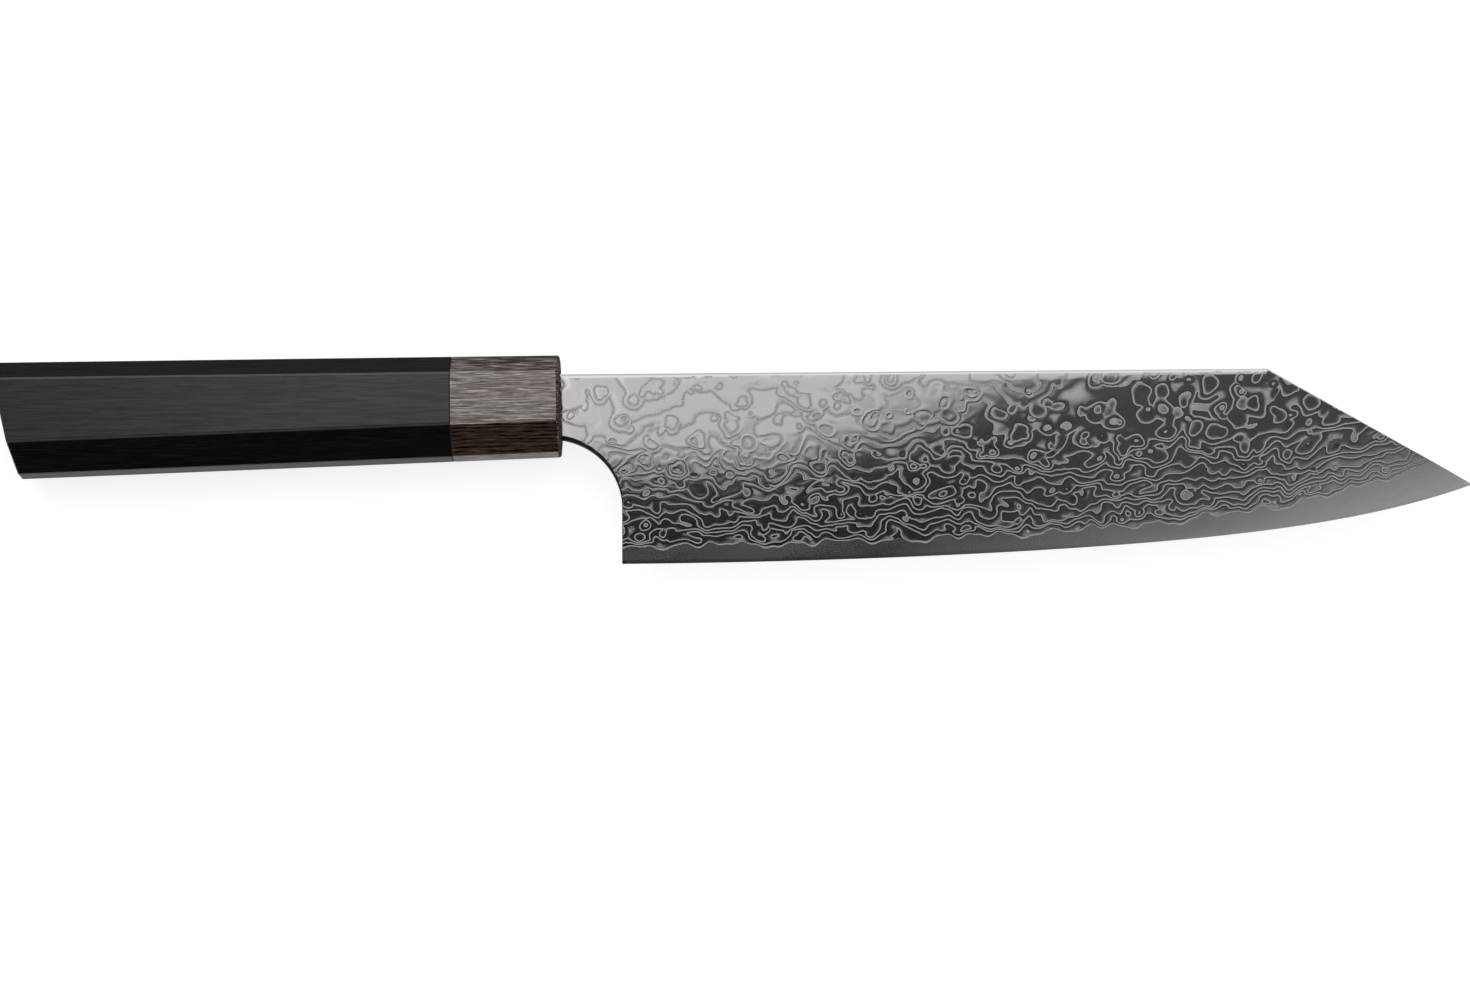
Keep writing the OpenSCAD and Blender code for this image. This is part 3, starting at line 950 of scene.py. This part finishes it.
ferrule = skin("streaked_ferrule", [
    handle_points(0, rectangle(*MOUTH, MOUTH_Y)),
    handle_points(-MOUTH_DEPTH, rectangle(*MOUTH, MOUTH_Y)),
    handle_points(-MOUTH_DEPTH, rectangle(*SLOT)),
    handle_points(-FERRULE_WEB, rectangle(*SLOT)),
    handle_points(-FERRULE_WEB, circle(DOWEL_BORE)),
    handle_points(-FERRULE_LENGTH, circle(DOWEL_BORE)),
    handle_points(-FERRULE_LENGTH, octagon(-FERRULE_LENGTH)),
    *[handle_points(-back, octagon(-back, inset)) for back, inset in quarter_turn(FERRULE_BEVEL)],
], closed=True)
mark_polish_and_shade(ferrule)
settle_normals(ferrule)

# The flats show the wood pale with dark streaks; the slanted facets, the lower ones most, are dull
# from sanding and take a far darker tone: painted shade.
FERRULE_GRAIN = {"Length": 0.048, "Ring Spacing": 1.3, "Wander": 0.5, "Fineness": 0.64}
PALE_TONES = ((0.27, 0.24, 0.225, 1), (0.17, 0.145, 0.132, 1))
BROWN_CLOUDS = ((0.45, 0.7, 0.0, 0.6), (0.14, 0.10, 0.08, 1))
PALE_FIBRES = ((0.52, 0.64), (0.48, 0.45, 0.435, 1))
DARK_FIBRES = ((0.48, 0.36, 0.0, 0.85), (0.055, 0.04, 0.035, 1))
SANDED_AND_SHADED_TONES = ((0.045, 0.029, 0.022, 1), (0.005, 0.0025, 0.002, 1))
SANDED_AND_SHADED_FIBRES = ((0.5, 0.64, 0.0, 0.7), (0.14, 0.095, 0.075, 1))
FERRULE_PORES = ((0.6, 0.72), (0.05, 0.03, 0.025, 1))
POLISH_AND_SHADE_BORDER = (0.7, 1.03)

ferrule_wood, tree, shader = new_material("streaked_ferrule_wood")
grain = use_group(tree, wood_grain, {"Vector": in_millimetres(tree), **FERRULE_GRAIN})
rings, fibres = grain["Rings"], grain["Fibres"]
tone = blend(tree, rings, *PALE_TONES)
tone = covered(tree, tone, grain["Clouds"], BROWN_CLOUDS)
tone = covered(tree, tone, fibres, PALE_FIBRES)
tone = covered(tree, tone, fibres, DARK_FIBRES)
polish_and_shade = mark_of(tree, "polish_and_shade")
# Painted shade: faces with a low mark get this much darker tone.
sanded_and_shaded = blend(tree, ramp(tree, rings, 0.2, 0.8), *SANDED_AND_SHADED_TONES)
sanded_and_shaded = covered(tree, sanded_and_shaded, fibres, SANDED_AND_SHADED_FIBRES)
tone = blend(tree, ramp(
    tree, total(tree, fibres, product(tree, polish_and_shade, 2.0)), *POLISH_AND_SHADE_BORDER), sanded_and_shaded, tone)
feed(tree, shader, {
    "Base Color": covered(tree, tone, grain["Pores"], FERRULE_PORES),
    "Roughness": 0.5,
    "Specular IOR Level": 0.0,
    "Coat Roughness": 0.3,
    "Coat Weight": ramp(tree, polish_and_shade, 0.0, 1.0, 0.0, 0.9),
    "Normal": raised(tree, fibres, FIBRE_RELIEF, 0.5),
})
ferrule.data.materials.append(ferrule_wood)
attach(ferrule, "root")
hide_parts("ferrule")


# The seal and the glue line
# Dark resin closes the mouth of the ferrule around the neck; its near-black tone also stands in
# for the shade in the gap there, a painted shadow. The same dark glue shows as a thin line between
# ferrule and handle.
SEAL_AND_GAP_SHADE_TONES = ((0.012, 0.010, 0.009, 1), (0.035, 0.030, 0.027, 1))
SEAL_ROUGHNESS = (0.45, 0.65)
SEAL_CLOUDS = 1.4
seal_resin_and_shade, tree, shader = new_material("dark_resin_and_gap_shade")
clouds = noise(tree, in_millimetres(tree), SEAL_CLOUDS, 3)[0]
feed(tree, shader, {
    # Painted shadow: the near-black tone of the seal at the mouth.
    "Base Color": blend(tree, clouds, *SEAL_AND_GAP_SHADE_TONES),
    "Roughness": ramp(tree, clouds, *SPREAD, *SEAL_ROUGHNESS),
    "Specular IOR Level": 0.1,
})
dress("mouth_seal", seal_resin_and_shade)
dress("ferrule_glue", seal_resin_and_shade)


# The handle
# One piece of ebony, planed to a tapered octagon, bored for the dowel, cut off at a slant at the
# butt, and rubbed with oil; its long facets have a polish, the slanted ones are dull from sanding
# and painted darker as shade, and the arrises beside the spine carry a painted highlight.
FRONT_X = -FERRULE_LENGTH - GLUE
FRONT_EASE = 0.12
BUTT_EASE = 0.5
STATIONS = 14
BUTT_ROUNDS = 6


def butt_x(y, back):
    """Where a plane parallel to the butt, so far in front of it, meets the height y."""
    return -HANDLE_LENGTH - y * math.tan(BUTT_ANGLE) + back / math.cos(BUTT_ANGLE)


def butt_ring(back, inset):
    """A ring parallel to the slanted butt, so far in front of it. The octagon tapers, so
    its place and its height are found in turns."""
    ring = octagon(-HANDLE_LENGTH, inset)
    for _ in range(BUTT_ROUNDS):
        x = butt_x(ring[:, 0], back)
        ring = np.array([octagon(x[i], inset)[i] for i in range(RING_COUNT)])
    return handle_points(x, ring)


rings = [
    handle_points(-DOWEL_END, circle(DOWEL_BORE)),
    handle_points(FRONT_X, circle(DOWEL_BORE)),
    handle_points(FRONT_X, octagon(FRONT_X, FRONT_EASE)),
    handle_points(FRONT_X - FRONT_EASE, octagon(FRONT_X - FRONT_EASE)),
]
last = butt_ring(BUTT_EASE, 0)
first = rings[-1]
for i in range(1, STATIONS):
    rings.append(first + (last - first) * i / STATIONS)
rings += [butt_ring(back, inset) for back, inset in quarter_turn(BUTT_EASE)]
handle = skin("ebony_handle", rings)
mark_polish_and_shade(handle)
settle_normals(handle)

EBONY_GRAIN = {"Length": 0.04, "Ring Spacing": 4.0, "Wander": 1.5, "Fineness": 0.5}
DULL_AND_SHADED_TONES = ((0.004, 0.003, 0.004, 1), (0.008, 0.006, 0.007, 1))
DULL_AND_SHADED_FIBRES = ((0.45, 0.7), (0.014, 0.011, 0.011, 1))
OILED_TONES = ((0.0135, 0.0087, 0.0137, 1), (0.026, 0.019, 0.026, 1))
PAINTED_ARRIS_HIGHLIGHT = ((1.0, ARRIS_HIGHLIGHT_POLISH), (0.062, 0.052, 0.064, 1))
EBONY_PORES = ((0.62, 0.72), grey(0.002))
OILED_FIBRES = (0.35, 0.65)
EBONY_RELIEF = 0.00004
ebony, tree, shader = new_material("oiled_ebony")
grain = use_group(tree, wood_grain, {"Vector": in_millimetres(tree), **EBONY_GRAIN})
fibres = grain["Fibres"]
# Painted shade: faces with a low mark, the slanted facets, keep these darkest tones.
tone = covered(tree, blend(tree, grain["Clouds"], *DULL_AND_SHADED_TONES), fibres, DULL_AND_SHADED_FIBRES)
polish_and_shade = mark_of(tree, "polish_and_shade")
oiled = blend(tree, ramp(tree, fibres, *OILED_FIBRES), *OILED_TONES)
tone = blend(tree, ramp(tree, polish_and_shade, 0.0, 0.8), tone, oiled)
# Painted highlight: the arrises beside the spine are coloured lighter than the flats.
tone = covered(tree, tone, polish_and_shade, PAINTED_ARRIS_HIGHLIGHT)
sheen = ramp(tree, fibres, *OILED_FIBRES, 0.8, 1.0)
feed(tree, shader, {
    "Base Color": covered(tree, tone, grain["Pores"], EBONY_PORES),
    "Roughness": 0.5,
    "Specular IOR Level": 0.0,
    "Coat Roughness": 0.24,
    "Coat Weight": product(tree, sheen, ramp(tree, polish_and_shade, 0.0, 1.0, 0.02, 1.0)),
    "Normal": raised(tree, fibres, EBONY_RELIEF, 0.25),
})
handle.data.materials.append(ebony)
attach(handle, "root")
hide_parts("handle_body")


# The table and the light
# A plain white table in an evenly lit room. Near the zenith a wide soft light ends on a slant,
# with a dim ceiling and two faint cards beside it: the polished blade mirrors their border.
FLOOR_SIZE = 20.0
FLOOR_DEPTH = 0.0002
FLOOR_GLOW = 0.75
FLOOR_GREY = 0.5
floor_mesh = bpy.data.meshes.new("table_top")
floor_mesh.from_pydata([
    (x * FLOOR_SIZE, y * FLOOR_SIZE, -FLOOR_DEPTH)
    for x, y in ((-1, -1), (1, -1), (1, 1), (-1, 1))
], [], [(0, 1, 2, 3)])
floor = bpy.data.objects.new("table_top", floor_mesh)
bpy.context.scene.collection.objects.link(floor)
table_white = bpy.data.materials.new("table_white")
table_white.use_nodes = True
tree = table_white.node_tree
tree.nodes.clear()
rays = node(tree, "ShaderNodeLightPath").outputs
seen = calc(tree, "MAXIMUM", rays["Is Camera Ray"], calc(
    tree, "MAXIMUM", rays["Is Glossy Ray"], rays["Is Transmission Ray"]))
glow = node(tree, "ShaderNodeEmission", {
    "Color": grey(1), "Strength": product(tree, seen, FLOOR_GLOW)}).outputs[0]
matte = node(tree, "ShaderNodeBsdfDiffuse", {"Color": grey(FLOOR_GREY)}).outputs[0]
both = node(tree, "ShaderNodeAddShader", {0: matte, 1: glow}).outputs[0]
node(tree, "ShaderNodeOutputMaterial", {"Surface": both})
floor_mesh.materials.append(table_white)

# Each patch of the room is limited by soft steps of a direction: low, high, and both values
LEAST_RISE = 0.02
BORDER_Y = 0.2305
SLANTED_START, SLANTED_RISE = 0.220, 0.79
BORDER_ROUNDING = 0.01
BORDER_BLUR = (-0.011, 0.012)
SOFT_LIGHT_X = (-0.1, -0.05, 3.6, 1.42)
SOFT_LIGHT_END_X = (-0.23, -0.12, 0.0, 1.0)
TIP_CARD_X, TIP_CARD_Y = (0.168, 0.203, 0.0, 0.6), (0.2, 0.26, 1.0, 0.0)
EDGE_CARD_X = (0.06, 0.2, 0.0, 1.15)
EDGE_CARD_LOW_Y, EDGE_CARD_HIGH_Y = (-0.05, 0.12, 0.45, 1.0), (0.155, 0.185, 1.0, 0.0)
CEILING_X = (0.05, 0.14, 0.05, 0.135)
OVERHEAD_X = (0.32, 0.45, 1.0, 0.0)
OVERHEAD_LOW_Y, OVERHEAD_HIGH_Y = (-0.32, -0.2), (0.55, 0.9, 1.0, 0.0)
ROOM_Y, ROOM_Z = (-0.6, 0.6, 0.75, 1.35), (0.1, 0.75, 0.5, 1.15)
LIGHT_LEVEL = 0.8


def patch(tree, *steps):
    """The strength of one patch: the product of its steps."""
    return product(tree, *[ramp(tree, value, *limits) for value, limits in steps])


world = bpy.data.worlds.new("studio")
bpy.context.scene.world = world
world.use_nodes = True
tree = world.node_tree
tree.nodes.clear()
towards = node(tree, "ShaderNodeSeparateXYZ", {
    0: node(tree, "ShaderNodeTexCoord").outputs["Generated"]}).outputs
rise = calc(tree, "MAXIMUM", towards[2], LEAST_RISE)
over_x = calc(tree, "DIVIDE", towards[0], rise)
over_y = calc(tree, "DIVIDE", towards[1], rise)
slanted_border = total(tree, SLANTED_START, product(tree, over_x, SLANTED_RISE))
beyond = calc(tree, "SUBTRACT", over_y, calc(
    tree, "SMOOTH_MAX", BORDER_Y, slanted_border, BORDER_ROUNDING))
soft_light = patch(tree, (over_x, SOFT_LIGHT_X), (over_x, SOFT_LIGHT_END_X))
tip_card = patch(tree, (over_x, TIP_CARD_X), (over_y, TIP_CARD_Y))
edge_card = patch(
    tree, (over_x, EDGE_CARD_X), (over_y, EDGE_CARD_LOW_Y), (over_y, EDGE_CARD_HIGH_Y))
cards = calc(tree, "MAXIMUM", tip_card, edge_card)
ceiling = calc(tree, "MAXIMUM", ramp(tree, over_x, *CEILING_X), cards)
zenith = node(tree, "ShaderNodeMix", {
    0: ramp(tree, beyond, *BORDER_BLUR), 2: ceiling, 3: soft_light}).outputs[0]
room = patch(tree, (towards[1], ROOM_Y), (towards[2], ROOM_Z))
overhead = patch(
    tree, (calc(tree, "ABSOLUTE", over_x), OVERHEAD_X),
    (over_y, OVERHEAD_LOW_Y), (over_y, OVERHEAD_HIGH_Y))
light = node(tree, "ShaderNodeMix", {0: overhead, 2: room, 3: zenith}).outputs[0]
seen = node(tree, "ShaderNodeLightPath").outputs["Is Camera Ray"]
sky = node(tree, "ShaderNodeBackground", {
    "Color": grey(1),
    "Strength": calc(tree, "MAXIMUM", seen, product(tree, light, LIGHT_LEVEL)),
}).outputs[0]
node(tree, "ShaderNodeOutputWorld", {"Surface": sky})
